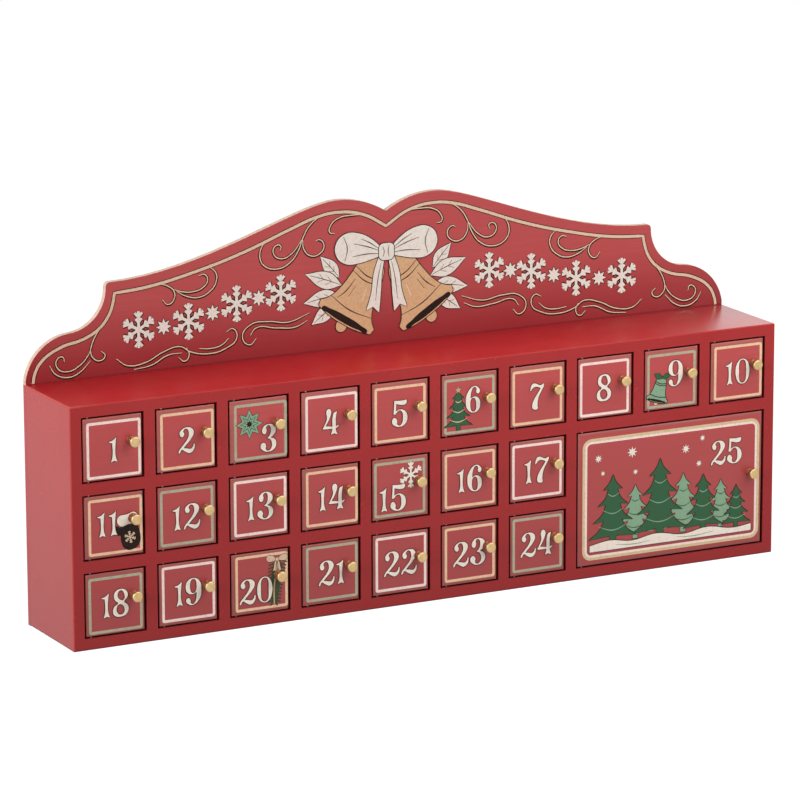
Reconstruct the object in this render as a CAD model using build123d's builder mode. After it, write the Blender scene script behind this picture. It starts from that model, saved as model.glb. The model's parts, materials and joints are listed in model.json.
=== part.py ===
from build123d import *
from math import cos, radians, sin
import os

# Wooden advent calendar: a painted box of 25 numbered doors in front of a shaped back board.
# Millimetres. +X runs along the box, the doors face -Y, and +Z is up.
# The origin is the middle of the footprint, on the surface that the box stands on.

# Boards of the box
board_thickness = 9.0
back_thickness = 5.0
carcass_depth = 80.0
board_edge_round = 1.0

# Compartments
columns = 10
rows = 3
opening_width = 50.0
opening_height = 49.5
large_columns = 3
large_rows = 2

# Doors, hinged on the left and set in just behind the front of the box
door_thickness = 6.0
door_setback = 0.3
hinge_gap = 1.3
free_gap = 1.7
top_gap = 1.4
bottom_gap = 1.1
door_edge_ease = 0.6

# Wire hinge pins, driven into the boards and running in blind holes in the doors
pin_radius = 0.6
pin_inset = 5.0
pin_in_door = 5.0
pin_seat_clearance = 0.02
pin_running_clearance = 0.05
pin_end_clearance = 0.5

# Turned knobs, each with a shank in the door
knob_collar_radius = 3.7
knob_collar_height = 1.2
knob_neck_radius = 2.3
knob_head_radius = 4.0
knob_head_height = 2.4
knob_length = 8.0
knob_shank_radius = 1.0
knob_shank_length = 4.0
knob_shank_clearance = 0.05
knob_hole_end_clearance = 0.3
knob_edge_distance = 8.5
knob_above_middle = 4.0
large_knob_edge_distance = 10.5
large_knob_above_middle = 4.75

# Stop blocks, glued to the wall behind the free edge of each door
stop_width = 4.0
stop_depth = 8.0
stop_height = 20.0
stop_clearance = 0.2

# Header, the part of the back board above the box, with heights taken from the top of the box
wing_rise = 3.5
neck_inset = 65.7
hollow_radius = 32.0
hollow_angle = 4.0
neck_corner_radius = 3.5
shoulder_rise = 71.0
crest_rise = 115.5
crest_from_middle = 41.5
notch_rise = 103.5
# Where the slope from shoulder to crest passes, as shares of its run and of its rise
slope_shares = [(0.19, 0.075), (0.51, 0.40), (0.72, 0.70), (0.85, 0.91)]

# Sizes and levels that follow
column_pitch = opening_width + board_thickness
row_pitch = opening_height + board_thickness
length = columns * column_pitch + board_thickness
box_height = rows * row_pitch + board_thickness
left_end = -length / 2
front = -(carcass_depth + back_thickness) / 2
carcass_back = front + carcass_depth
carcass_middle = front + carcass_depth / 2
small_columns = columns - large_columns
large_width = large_columns * column_pitch - board_thickness
large_height = large_rows * row_pitch - board_thickness
side_height = box_height - 2 * board_thickness
top_underside = box_height - board_thickness
door_face = front + door_setback
door_back = door_face + door_thickness
pin_y = door_face + door_thickness / 2
pin_offset = hinge_gap + pin_inset
# A pin reaches the middle of its board, so one wire through a shelf serves the doors on both sides
pin_in_board = board_thickness / 2


def opening_left(column):
    """The left edge of the openings in a column, counted from 0 at the left."""
    return left_end + board_thickness + column * column_pitch


def opening_floor(row):
    """The floor of the openings in a row, counted from 0 at the top."""
    return top_underside - opening_height - row * row_pitch


def in_row(row):
    """How many small openings a row has."""
    return columns if row < rows - large_rows else small_columns


upper_shelf_z = opening_floor(rows - large_rows - 1) - board_thickness

# Every opening in the order of its number: left edge, floor, width and height
openings = []
for row in range(rows):
    for column in range(in_row(row)):
        openings.append((opening_left(column), opening_floor(row), opening_width, opening_height))
openings.append((opening_left(small_columns), opening_floor(rows - 1), large_width, large_height))

os.makedirs("parts", exist_ok=True)


def save(piece, name):
    """Label a finished piece and write it under its own name."""
    piece.part.label = name
    export_step(piece.part, f"parts/{name}.step")


def pin_spots(level, above):
    """Where pins meet a board face: doors whose top, or foot, faces that level."""
    spots = []
    for left, floor, width, height in openings:
        edge = floor if above else floor + height
        if abs(edge - level) < pin_radius:
            spots.append((left + pin_offset, pin_y))
    return spots


# Top panel, lying over both sides, with pin holes in its underside
with BuildPart() as top_panel:
    with BuildSketch(Plane.XY.offset(top_underside)):
        with Locations((0, carcass_middle)):
            Rectangle(length, carcass_depth)
    extrude(amount=board_thickness)
    upper_edges = top_panel.faces().sort_by(Axis.Z)[-1].edges().sort_by(Axis.Y)[:-1]
    corner_edges = top_panel.edges().filter_by(Axis.Z).group_by(Axis.Y)[0]
    fillet(upper_edges + corner_edges, board_edge_round)
    with BuildSketch(Plane.XY.offset(top_underside)):
        with Locations(*pin_spots(top_underside, above=False)):
            Circle(pin_radius + pin_seat_clearance)
    extrude(amount=pin_in_board, mode=Mode.SUBTRACT)
save(top_panel, "top_panel")

# Bottom panel, under both sides, with pin holes in its upper face
with BuildPart() as bottom_panel:
    with BuildSketch(Plane.XY):
        with Locations((0, carcass_middle)):
            Rectangle(length, carcass_depth)
    extrude(amount=board_thickness)
    lower_edges = bottom_panel.faces().sort_by(Axis.Z)[0].edges().sort_by(Axis.Y)[:-1]
    corner_edges = bottom_panel.edges().filter_by(Axis.Z).group_by(Axis.Y)[0]
    fillet(lower_edges + corner_edges, board_edge_round)
    with BuildSketch(Plane.XY.offset(board_thickness)):
        with Locations(*pin_spots(board_thickness, above=True)):
            Circle(pin_radius + pin_seat_clearance)
    extrude(amount=-pin_in_board, mode=Mode.SUBTRACT)
save(bottom_panel, "bottom_panel")

# Sides, standing between the top and bottom panels
for name, outward in (("left_side", -1), ("right_side", 1)):
    with BuildPart() as side:
        with BuildSketch(Plane.XY.offset(board_thickness)):
            with Locations((outward * (length - board_thickness) / 2, carcass_middle)):
                Rectangle(board_thickness, carcass_depth)
        extrude(amount=side_height)
        outer_face = side.faces().sort_by(Axis.X)[0 if outward < 0 else -1]
        fillet(outer_face.edges().filter_by(Axis.Z).sort_by(Axis.Y)[0], board_edge_round)
    save(side, name)

# Shelves: the upper one runs from side to side, the lower one stops at the large compartment
for name, row, reach in (
    ("upper_shelf", rows - large_rows - 1, columns),
    ("lower_shelf", rows - 2, small_columns),
):
    shelf_top = opening_floor(row)
    shelf_length = reach * column_pitch - board_thickness
    with BuildPart() as shelf:
        with BuildSketch(Plane.XY.offset(shelf_top)):
            with Locations((opening_left(0) + shelf_length / 2, carcass_middle)):
                Rectangle(shelf_length, carcass_depth)
        extrude(amount=-board_thickness)
        with BuildSketch(Plane.XY.offset(shelf_top)):
            with Locations(*pin_spots(shelf_top, above=True)):
                Circle(pin_radius + pin_seat_clearance)
        extrude(amount=-pin_in_board, mode=Mode.SUBTRACT)
        with BuildSketch(Plane.XY.offset(shelf_top - board_thickness)):
            with Locations(*pin_spots(shelf_top - board_thickness, above=False)):
                Circle(pin_radius + pin_seat_clearance)
        extrude(amount=pin_in_board, mode=Mode.SUBTRACT)
    save(shelf, name)

# Upright dividers: one between neighbouring openings in each row, and a tall one by the large door
with BuildPart() as dividers:
    for row in range(rows):
        with BuildSketch(Plane.XY.offset(opening_floor(row))):
            for column in range(1, in_row(row)):
                with Locations((opening_left(column) - board_thickness / 2, carcass_middle)):
                    Rectangle(board_thickness, carcass_depth)
        extrude(amount=opening_height)
    with BuildSketch(Plane.XY.offset(opening_floor(rows - 1))):
        with Locations((opening_left(small_columns) - board_thickness / 2, carcass_middle)):
            Rectangle(board_thickness, carcass_depth)
    extrude(amount=large_height)
save(dividers, "dividers")

# Back board, closing the box and rising behind it as the shaped header
with BuildPart() as back_board:
    with BuildSketch(Plane.XZ.offset(-carcass_back - back_thickness)):
        with BuildLine():
            neck_x = left_end + neck_inset
            shoulder_z = box_height + shoulder_rise
            hollow_centre = (neck_x - hollow_radius, shoulder_z - neck_corner_radius)
            turn = radians(hollow_angle)
            wing_end = (
                hollow_centre[0] + hollow_radius * sin(turn),
                hollow_centre[1] - hollow_radius * cos(turn),
            )
            wing_start = (left_end, box_height + wing_rise)
            shoulder = (neck_x + neck_corner_radius, shoulder_z)
            crest = (-crest_from_middle, box_height + crest_rise)
            notch = (0, box_height + notch_rise)
            run = crest[0] - shoulder[0]
            rise = crest[1] - shoulder[1]
            slope = [(shoulder[0] + u * run, shoulder[1] + v * rise) for u, v in slope_shares]
            Polyline((0, 0), (left_end, 0), wing_start)
            TangentArc(wing_end, wing_start, tangent=(-cos(turn), -sin(turn)))
            CenterArc(hollow_centre, hollow_radius, hollow_angle - 90, 90 - hollow_angle)
            TangentArc((neck_x, hollow_centre[1]), shoulder, tangent=(0, 1))
            Spline(shoulder, *slope, crest, tangents=[(1, 0), (1, 0)])
            TangentArc(crest, notch, tangent=(1, 0))
            mirror(about=Plane.YZ)
        make_face()
    extrude(amount=back_thickness)
save(back_board, "back_board")

# Hinge pins: wire at the foot and the top of each door, on one upright line
with BuildPart() as hinge_pins:
    for left, floor, width, height in openings:
        for start, reach in (
            (floor - pin_in_board, pin_in_board + bottom_gap + pin_in_door),
            (floor + height + pin_in_board, -pin_in_board - top_gap - pin_in_door),
        ):
            with BuildSketch(Plane.XY.offset(start)):
                with Locations((left + pin_offset, pin_y)):
                    Circle(pin_radius)
            extrude(amount=reach)
save(hinge_pins, "hinge_pins")

# Stop blocks, half way up the right wall of each compartment
with BuildPart() as door_stops:
    for left, floor, width, height in openings:
        with BuildSketch(Plane.XY.offset(floor + (height - stop_height) / 2)):
            with Locations((left + width - stop_width / 2, door_back + stop_clearance + stop_depth / 2)):
                Rectangle(stop_width, stop_depth)
        extrude(amount=stop_height)
save(door_stops, "door_stops")

# Doors and their knobs, numbered from the top left, with the large door last
for number, (left, floor, width, height) in enumerate(openings, start=1):
    large = width > opening_width
    edge_distance = large_knob_edge_distance if large else knob_edge_distance
    above_middle = large_knob_above_middle if large else knob_above_middle
    door_left = left + hinge_gap
    door_right = left + width - free_gap
    door_foot = floor + bottom_gap
    door_top = floor + height - top_gap
    knob_x = door_right - edge_distance
    knob_z = (door_foot + door_top) / 2 + above_middle
    knob_seat = Plane(origin=(knob_x, door_face, knob_z), x_dir=(1, 0, 0), z_dir=(0, 0, 1))

    with BuildPart() as door:
        with BuildSketch(Plane.XZ.offset(-door_face)):
            with Locations(((door_left + door_right) / 2, (door_foot + door_top) / 2)):
                Rectangle(door_right - door_left, door_top - door_foot)
        extrude(amount=-door_thickness)
        chamfer(door.faces().sort_by(Axis.Y)[0].edges(), door_edge_ease)
        for edge, reach in ((door_foot, pin_in_door), (door_top, -pin_in_door - pin_end_clearance)):
            with BuildSketch(Plane.XY.offset(edge)):
                with Locations((left + pin_offset, pin_y)):
                    Circle(pin_radius + pin_running_clearance)
            extrude(amount=reach, mode=Mode.SUBTRACT)
        with BuildSketch(Plane.XZ.offset(-door_face)):
            with Locations((knob_x, knob_z)):
                Circle(knob_shank_radius + knob_shank_clearance)
        extrude(amount=-knob_shank_length - knob_hole_end_clearance, mode=Mode.SUBTRACT)
    save(door, f"door_{number:02d}")

    with BuildPart() as knob:
        with BuildSketch(knob_seat):
            with BuildLine():
                Polyline(
                    (0, knob_shank_length),
                    (knob_shank_radius, knob_shank_length),
                    (knob_shank_radius, 0),
                    (knob_collar_radius, 0),
                    (knob_collar_radius, -knob_collar_height),
                    (knob_neck_radius, -knob_collar_height),
                    (knob_neck_radius, knob_head_height - knob_length),
                    (knob_head_radius, knob_head_height - knob_length),
                    (knob_head_radius, -knob_length),
                    (0, -knob_length),
                    close=True,
                )
            make_face()
        revolve(axis=Axis(knob_seat.origin, (0, 1, 0)))
    save(knob, f"knob_{number:02d}")
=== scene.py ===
import json
from math import copysign, cos, pi, radians, sin

import bpy
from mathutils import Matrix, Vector


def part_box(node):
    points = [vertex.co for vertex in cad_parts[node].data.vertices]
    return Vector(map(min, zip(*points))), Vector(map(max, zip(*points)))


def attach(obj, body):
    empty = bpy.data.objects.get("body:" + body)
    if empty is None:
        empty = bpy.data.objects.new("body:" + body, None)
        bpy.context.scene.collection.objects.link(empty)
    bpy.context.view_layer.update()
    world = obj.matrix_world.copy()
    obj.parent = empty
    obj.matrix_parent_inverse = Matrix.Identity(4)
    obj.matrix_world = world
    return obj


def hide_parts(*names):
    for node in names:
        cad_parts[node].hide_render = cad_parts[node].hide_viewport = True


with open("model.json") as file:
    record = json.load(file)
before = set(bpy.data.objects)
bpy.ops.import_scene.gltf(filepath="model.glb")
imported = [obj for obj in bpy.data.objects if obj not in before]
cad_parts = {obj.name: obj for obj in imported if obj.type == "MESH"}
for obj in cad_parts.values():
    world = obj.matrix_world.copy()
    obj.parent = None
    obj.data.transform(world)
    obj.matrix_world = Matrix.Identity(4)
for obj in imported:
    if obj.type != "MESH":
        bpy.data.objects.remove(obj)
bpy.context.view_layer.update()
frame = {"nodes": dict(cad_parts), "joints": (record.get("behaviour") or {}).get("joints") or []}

# Bottom panel. A sheet of fibreboard under both sides, glued to them.
# Its outer edges are sanded round, and the whole box is sprayed with satin red paint once it is glued.
# The underside and the rounds of its lower edges take the dark inside red, which on the rounds is
# painted shade. The other rounded edges are a little paler, partly rubbed and partly painted highlight,
# and at the left end they are paler still, a painted sheen.
mm = 0.001
touch = 0.01 * mm
edge_round = 1.0 * mm
pin_hole_radius = 0.62 * mm
pin_reach = 4.5 * mm
drill_overrun = 1.0 * mm
box_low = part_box("bottom_panel")[0]
box_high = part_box("top_panel")[1]


def srgb(red, green, blue):
    """A colour as it looks on a screen, 0 to 255, in the linear values that shaders take."""
    shares = [value / 255 for value in (red, green, blue)]
    linear = [s / 12.92 if s <= 0.04045 else ((s + 0.055) / 1.055) ** 2.4 for s in shares]
    return (*linear, 1.0)


def feed(material, target, inputs):
    """Set a node's inputs, each from a plain value or from the output that drives it."""
    for name, value in inputs.items():
        if isinstance(value, bpy.types.NodeSocket):
            material.node_tree.links.new(value, target.inputs[name])
        else:
            target.inputs[name].default_value = value


def node(material, kind, inputs):
    """Add one shader node."""
    made = material.node_tree.nodes.new(kind)
    feed(material, made, inputs)
    return made


def noise(material, place, scale, detail):
    """Soft random clouds, with their size given by the scale in cells a metre."""
    made = node(material, "ShaderNodeTexNoise", {"Vector": place, "Scale": scale, "Detail": detail})
    return made.outputs["Fac"]


def blend(material, share, first, second):
    """Two colours that a pattern blends between, each given with the share where it is full."""
    made = node(material, "ShaderNodeValToRGB", {"Fac": share})
    for stop, (position, colour) in zip(made.color_ramp.elements, (first, second)):
        stop.position = position
        stop.color = colour
    return made.outputs["Color"]


def between(material, share, low, high):
    """A plain number that a pattern moves from low to high."""
    made = node(material, "ShaderNodeMapRange", {"Value": share, "To Min": low, "To Max": high})
    return made.outputs["Result"]


def bump(material, height, strength, depth):
    """A small relief that a pattern raises from the surface."""
    inputs = {"Height": height, "Strength": strength, "Distance": depth}
    return node(material, "ShaderNodeBump", inputs).outputs["Normal"]


def start_material(name):
    """A new material, with its shader and the object's own coordinates."""
    material = bpy.data.materials.new(name)
    material.use_nodes = True
    shader = material.node_tree.nodes["Principled BSDF"]
    place = material.node_tree.nodes.new("ShaderNodeTexCoord").outputs["Object"]
    return material, shader, place


def share_along(material, place, axis, start, reach):
    """How far a point lies along an axis, from 0 at the start to 1 where the reach ends."""
    level = node(material, "ShaderNodeSeparateXYZ", {"Vector": place}).outputs[axis]
    inputs = {"Value": level, "From Min": start, "From Max": start + reach}
    return node(material, "ShaderNodeMapRange", inputs).outputs["Result"]


def graded(material, share, first, last):
    """A colour that runs from a first one to a last one across a piece."""
    mixed = material.node_tree.nodes.new("ShaderNodeMix")
    mixed.data_type = "RGBA"
    feed(material, mixed, {0: share, 6: first, 7: last})
    return mixed.outputs[2]


def satin_paint(name, colour, thin_colour, first_colour, runs, rough, gloss):
    """Sprayed paint: faint clouds where the coat is thin, a fine orange peel and an uneven gloss.
    It runs from a first colour to its own, along an axis from a start and over a reach."""
    material, shader, place = start_material(name)
    clouds = noise(material, place, scale=16.0, detail=6.0)
    peel = noise(material, place, scale=650.0, detail=2.0)
    smears = noise(material, place, scale=45.0, detail=4.0)
    coat = blend(material, clouds, (0.30, thin_colour), (0.62, colour))
    feed(material, shader, {
        "Base Color": graded(material, share_along(material, place, *runs), first_colour, coat),
        "Specular IOR Level": gloss,
        "Roughness": between(material, smears, *rough),
        "Normal": bump(material, peel, strength=0.10, depth=0.05 * mm),
    })
    return material


# The box red grades darker towards the foot of the box, which is painted shade.
box_paint = satin_paint(
    "satin_red_paint", srgb(165, 28, 29), srgb(170, 36, 37), srgb(150, 20, 22),
    runs=("Z", 0, box_high.z), rough=(0.2, 0.32), gloss=0.36,
)
# Rounded edges: a little paler than the box, partly rubbed and partly painted highlight, and paler
# still towards the left end, which is painted sheen.
edge_paint = satin_paint(
    "red_paint_edge_rubbed_and_painted_sheen", srgb(166, 33, 34), srgb(173, 46, 44), srgb(176, 66, 62),
    runs=("X", box_low.x, 25 * mm), rough=(0.4, 0.55), gloss=0.2,
)
# The inside red is dark and dull, which is painted shade: it keeps the gaps round the doors dark.
inner_shade_paint = satin_paint(
    "dark_red_paint_inside_painted_shade", srgb(112, 25, 27), srgb(98, 29, 27), srgb(104, 24, 24),
    runs=("Z", 0, box_high.z), rough=(0.5, 0.7), gloss=0.3,
)


def make_active(*pieces):
    """Select some pieces and nothing else, the first of them active."""
    bpy.ops.object.select_all(action="DESELECT")
    for piece in pieces:
        piece.select_set(True)
    if pieces:
        bpy.context.view_layer.objects.active = pieces[0]


def board(name, low, high, *finishes):
    """A board sawn to fill the space between two corners."""
    make_active()
    bpy.ops.mesh.primitive_cube_add(size=1, location=(low + high) / 2)
    piece = bpy.context.object
    piece.name = name
    piece.scale = high - low
    bpy.ops.object.transform_apply(location=True, rotation=False, scale=True)
    for finish in finishes:
        piece.data.materials.append(finish)
    return piece


def pick(piece, kind, chosen):
    """Open a piece for editing, with only the edges or faces selected that a test chooses."""
    make_active(piece)
    bpy.ops.object.mode_set(mode="EDIT")
    bpy.ops.mesh.select_mode(type=kind)
    bpy.ops.mesh.select_all(action="DESELECT")
    bpy.ops.object.mode_set(mode="OBJECT")
    for element in piece.data.edges if kind == "EDGE" else piece.data.polygons:
        element.select = chosen(element)
    bpy.ops.object.mode_set(mode="EDIT")


def ease_edges(piece, chosen, width, segments, finish=None):
    """Round the edges that a test chooses by their two ends; the round may have its own finish."""
    slot = piece.data.materials.find(finish.name) if finish else -1
    pick(piece, "EDGE", lambda edge: chosen(*[piece.data.vertices[end].co for end in edge.vertices]))
    bpy.ops.mesh.bevel(offset=width, segments=segments, affect="EDGES", material=slot)
    bpy.ops.object.mode_set(mode="OBJECT")


def outer_edge(first, second):
    """True where an edge lies on two of the faces that the closed box shows."""
    faces = 0
    for axis, level in (
        (0, box_low.x), (0, box_high.x), (1, box_low.y), (2, box_low.z), (2, box_high.z)
    ):
        faces += abs(first[axis] - level) < touch and abs(second[axis] - level) < touch
    return faces == 2


def join(parts, name):
    """Make one piece of several parts."""
    make_active(*parts)
    bpy.ops.object.join()
    parts[0].name = name
    return parts[0]


def cut(piece, tool):
    """Take the tool's shape out of the piece and put the tool away."""
    make_active(piece)
    hole = piece.modifiers.new("hole", "BOOLEAN")
    hole.object = tool
    hole.solver = "EXACT"
    bpy.ops.object.modifier_apply(modifier=hole.name)
    bpy.data.objects.remove(tool)


def drill(piece, spots, radius, level, depth):
    """Cut a round hole at each spot from the level of a face: up, or down for a depth below 0."""
    overrun = copysign(drill_overrun, depth)
    middle = level + (depth - overrun) / 2
    bits = []
    for x, y in spots:
        make_active()
        bpy.ops.mesh.primitive_cylinder_add(
            vertices=20, radius=radius, depth=abs(depth + overrun), location=(x, y, middle)
        )
        bits.append(bpy.context.object)
    cut(piece, join(bits, "drill"))


def pin_spots(level):
    """Where the hinge pins of the doors above and below a level stand."""
    largest_gap = 2 * mm
    spots = []
    for joint in frame["joints"]:
        low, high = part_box(joint["child"].replace("leaf", "door"))
        if min(abs(low.z - level), abs(high.z - level)) < largest_gap:
            spots.append(joint["pos_m"][:2])
    return spots


def smooth(piece):
    """Shade round edges smoothly while the flat faces stay flat."""
    make_active(piece)
    bpy.ops.object.shade_smooth_by_angle(angle=radians(35))
    weighted = piece.modifiers.new("flat_faces", "WEIGHTED_NORMAL")
    weighted.keep_sharp = True
    bpy.ops.object.modifier_apply(modifier=weighted.name)


def fit(piece, body, slot, *nodes):
    """Let a piece move with its body and stand for its plain solids."""
    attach(piece, body)
    if nodes:
        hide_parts(*nodes)


def paint_faces(piece, finish, chosen):
    """Give one of a piece's finishes to the faces that a test chooses."""
    slot = piece.data.materials.find(finish.name)
    for face in piece.data.polygons:
        if chosen(face):
            face.material_index = slot


def inside_box(face):
    """True for a face that the closed box hides, right up to the front edge of a board."""
    margin = Vector((2, 0.35, 2)) * mm
    low, high = box_low + margin, box_high - margin
    return face.normal.y > -0.5 and all(low[i] < face.center[i] < high[i] for i in (0, 1, 2))


def finish_board(piece, name):
    """Smooth a board, give its hidden faces the painted shade of the inside red, and fit it in its
    place.
    """
    smooth(piece)
    paint_faces(piece, inner_shade_paint, inside_box)
    fit(piece, "carcass", "box_paint", name)


bottom_board = board("bottom_board", *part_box("bottom_panel"), box_paint, edge_paint, inner_shade_paint)
ease_edges(bottom_board, outer_edge, edge_round, segments=4, finish=edge_paint)
bottom_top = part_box("bottom_panel")[1].z
drill(bottom_board, pin_spots(bottom_top), pin_hole_radius, bottom_top, -pin_reach)
finish_board(bottom_board, "bottom_panel")
# The underside and the rounds of its lower edges take the dark inside red: painted shade on the rounds.
paint_faces(bottom_board, inner_shade_paint, lambda face: face.center.z < box_low.z + edge_round)

# Sides. Two fibreboard ends that stand on the bottom panel and carry the top, glued and painted too.
# Only the front corner of each is rounded, in line with the panels above and below.
for name in ("left_side", "right_side"):
    side = board(name + "_board", *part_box(name), box_paint, edge_paint, inner_shade_paint)
    ease_edges(side, outer_edge, edge_round, segments=4, finish=edge_paint)
    finish_board(side, name)

# Shelves. The upper one runs from side to side, and the lower one stops at the large compartment.
# They are glued between the uprights, flush at the front, with pin holes in both faces.
for name in ("upper_shelf", "lower_shelf"):
    low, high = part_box(name)
    shelf = board(name + "_board", low, high, box_paint, inner_shade_paint)
    drill(shelf, pin_spots(low.z), pin_hole_radius, low.z, pin_reach)
    drill(shelf, pin_spots(high.z), pin_hole_radius, high.z, -pin_reach)
    finish_board(shelf, name)

# Dividers. Short uprights of the same board between neighbouring compartments, glued above and below.
# Their front edges are sanded just enough to take the paint.
divider_ease = 0.3 * mm
hinge_gap = 1.3 * mm
board_thickness = bottom_top - box_low.z
door_boxes = {number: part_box(f"door_{number:02d}") for number in range(1, 26)}
rows = (
    (range(2, 11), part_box("upper_shelf")[1].z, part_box("top_panel")[0].z),
    (range(12, 18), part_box("lower_shelf")[1].z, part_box("upper_shelf")[0].z),
    (range(19, 25), bottom_top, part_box("lower_shelf")[0].z),
    (range(25, 26), bottom_top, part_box("upper_shelf")[0].z),
)


def front_upright(first, second):
    """True for the two upright edges at the front of a divider."""
    return max(first.y, second.y) < box_low.y + touch and abs(first.x - second.x) < touch


dividers = []
for numbers, foot, top in rows:
    for number in numbers:
        right = door_boxes[number][0].x - hinge_gap
        low = Vector((right - board_thickness, box_low.y, foot))
        high = Vector((right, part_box("dividers")[1].y, top))
        dividers.append(board("divider", low, high, box_paint, inner_shade_paint))
        ease_edges(dividers[-1], front_upright, divider_ease, segments=2)
finish_board(join(dividers, "divider_boards"), "dividers")

# Top panel. A fibreboard panel that lies over both sides, with its front and end edges sanded round.
# The pins of the top doors stand in holes in its underside. The red is darker along the header, which
# is painted shade, and a thin lacquer over it, which runs out towards the left, makes its right end
# glossy.
lacquer_start = 130 * mm
lacquer_reach = 150 * mm
top_paint = satin_paint(
    "satin_red_paint_top", srgb(165, 14, 19), srgb(171, 22, 27), srgb(140, 3, 12),
    runs=("Y", box_high.y, -60 * mm), rough=(0.3, 0.42), gloss=0.2,
)
shader = top_paint.node_tree.nodes["Principled BSDF"]
place = top_paint.node_tree.nodes["Texture Coordinate"].outputs["Object"]
feed(top_paint, shader, {
    "Coat Weight": share_along(top_paint, place, "X", lacquer_start, lacquer_reach),
    "Coat Roughness": 0.24,
    "Coat IOR": 1.56,
})
top_board = board("top_board", *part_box("top_panel"), box_paint, edge_paint, inner_shade_paint, top_paint)
ease_edges(top_board, outer_edge, edge_round, segments=4, finish=edge_paint)
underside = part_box("top_panel")[0].z
drill(top_board, pin_spots(underside), pin_hole_radius, underside, pin_reach)
finish_board(top_board, "top_panel")
paint_faces(top_board, top_paint, lambda face: face.normal.z > 0.99)

# Back board. One sheet of thin fibreboard that closes the box and rises behind it as the header.
# It is sawn to a curved outline and printed red on its face. Its edge above the box is bare and pale.
back_low, back_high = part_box("back_board")
back_length = (back_high.x - back_low.x) / mm
back_ease = 0.4 * mm
# Half of the outline, in mm from the left end and the foot: each point with the handles on both sides
back_outline = [
    (0, 0, (0, 0), (0, 60)),
    (0, 184.5, (0, 120), (0, 186)),
    (0, 188, (0, 187), (3.26, 205.63)),
    (35.93, 220.08, (18.04, 218.83), (52.70, 221.25)),
    (65.7, 252, (65.7, 235.19), (65.7, 253.93)),
    (69.2, 255.5, (67.27, 255.5), (144.2, 255.5)),
    (258, 300, (225, 300), (272.7, 300)),
]
notch = (back_length / 2, 288, (287.07, 295.86), (back_length - 287.07, 295.86))


def mirrored(points):
    """The same line on the other half of the header, run the other way."""
    others = []
    for x, z, *bend in reversed(points):
        if len(bend) == 2:
            bend = [(back_length - a, b) for a, b in reversed(bend)]
        others.append((back_length - x, z, *bend))
    return others


def draw(lines, closed, fineness):
    """A flat curve through lists of points in mm. A point is smooth, or has a third value where it is
    sharp, or has the two handles of its curve."""
    make_active()
    bpy.ops.curve.primitive_bezier_curve_add()
    curve = bpy.context.object.data
    curve.splines.clear()
    for points in lines:
        spline = curve.splines.new("BEZIER")
        spline.bezier_points.add(len(points) - 1)
        spline.use_cyclic_u = closed
        for knot, (x, z, *bend) in zip(spline.bezier_points, points):
            knot.co = (x * mm, z * mm, 0)
            kind = ("AUTO", "VECTOR", "FREE")[len(bend)]
            knot.handle_left_type = knot.handle_right_type = kind
            if kind == "FREE":
                knot.handle_left, knot.handle_right = [(a * mm, b * mm, 0) for a, b in bend]
    curve.resolution_u = fineness
    return curve


def weld(gap):
    """Merge the points of the active piece that lie within a gap, and turn its faces outwards."""
    bpy.ops.object.mode_set(mode="EDIT")
    bpy.ops.mesh.select_all(action="SELECT")
    bpy.ops.mesh.remove_doubles(threshold=gap)
    bpy.ops.mesh.normals_make_consistent(inside=False)
    bpy.ops.object.mode_set(mode="OBJECT")


def stand_up(x, y, z, squeeze=1.0):
    """Make the drawn curve a closed mesh, press it flatter, and stand it up facing the front."""
    bpy.ops.object.convert(target="MESH")
    piece = bpy.context.object
    piece.rotation_euler.x = pi / 2
    piece.scale.z = squeeze
    piece.location = (x, y, z)
    bpy.ops.object.transform_apply(location=True, rotation=True, scale=True)
    weld(0.002 * mm)
    return piece


def printed_red(name, colour, faded, deep_colour, foot, reach):
    """Red print on smooth board: fine level streaks from the print head under a thin clear coat."""
    material, shader, place = start_material(name)
    stretched = node(material, "ShaderNodeMapping", {"Vector": place, "Scale": (14.0, 14.0, 700.0)})
    streaks = noise(material, stretched.outputs["Vector"], scale=1.0, detail=3.0)
    clouds = noise(material, place, scale=22.0, detail=5.0)
    grain = noise(material, place, scale=900.0, detail=2.0)
    both = node(material, "ShaderNodeMath", {0: streaks, 1: clouds})
    half = between(material, both.outputs["Value"], 0.0, 0.5)
    coat = blend(material, half, (0.38, faded), (0.60, colour))
    share = share_along(material, place, "Z", foot, reach)
    feed(material, shader, {
        "Base Color": graded(material, share, deep_colour, coat),
        "Roughness": between(material, clouds, 0.30, 0.44),
        "Normal": bump(material, grain, strength=0.08, depth=0.04 * mm),
    })
    return material


def bare_edge(name, colour, fibre_colour):
    """Sawn fibreboard, pale, with short fibres and a dry surface."""
    material, shader, place = start_material(name)
    fibres = noise(material, place, scale=420.0, detail=6.0)
    feed(material, shader, {
        "Base Color": blend(material, fibres, (0.35, fibre_colour), (0.60, colour)),
        "Roughness": between(material, fibres, 0.62, 0.82),
        "Normal": bump(material, fibres, strength=0.25, depth=0.10 * mm),
    })
    return material


# The header red grades darker towards its foot, which is painted shade where it meets the top of the
# box.
header_red = printed_red(
    "printed_red_header", srgb(164, 53, 54), srgb(170, 63, 62), srgb(134, 14, 23),
    foot=box_high.z, reach=55 * mm,
)
edge_cream = bare_edge("bare_board_edge", srgb(208, 184, 166), srgb(193, 160, 141))
outline = draw([back_outline + [notch] + mirrored(back_outline)], closed=True, fineness=16)
outline.dimensions = "2D"
outline.fill_mode = "BOTH"
outline.extrude = (back_high.y - back_low.y) / 2 - back_ease
outline.bevel_depth = back_ease
outline.bevel_resolution = 1
outline.offset = -back_ease
back = stand_up(back_low.x, (back_low.y + back_high.y) / 2, back_low.z)
back.name = "back_board_sheet"
smooth(back)
for finish in (box_paint, header_red, edge_cream):
    back.data.materials.append(finish)
paint_faces(back, edge_cream, lambda face: face.normal.y < 0.9 and face.center.z > box_high.z)
paint_faces(back, header_red, lambda face: face.normal.y < -0.6)
fit(back, "carcass", "header_paint", "back_board")

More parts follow.
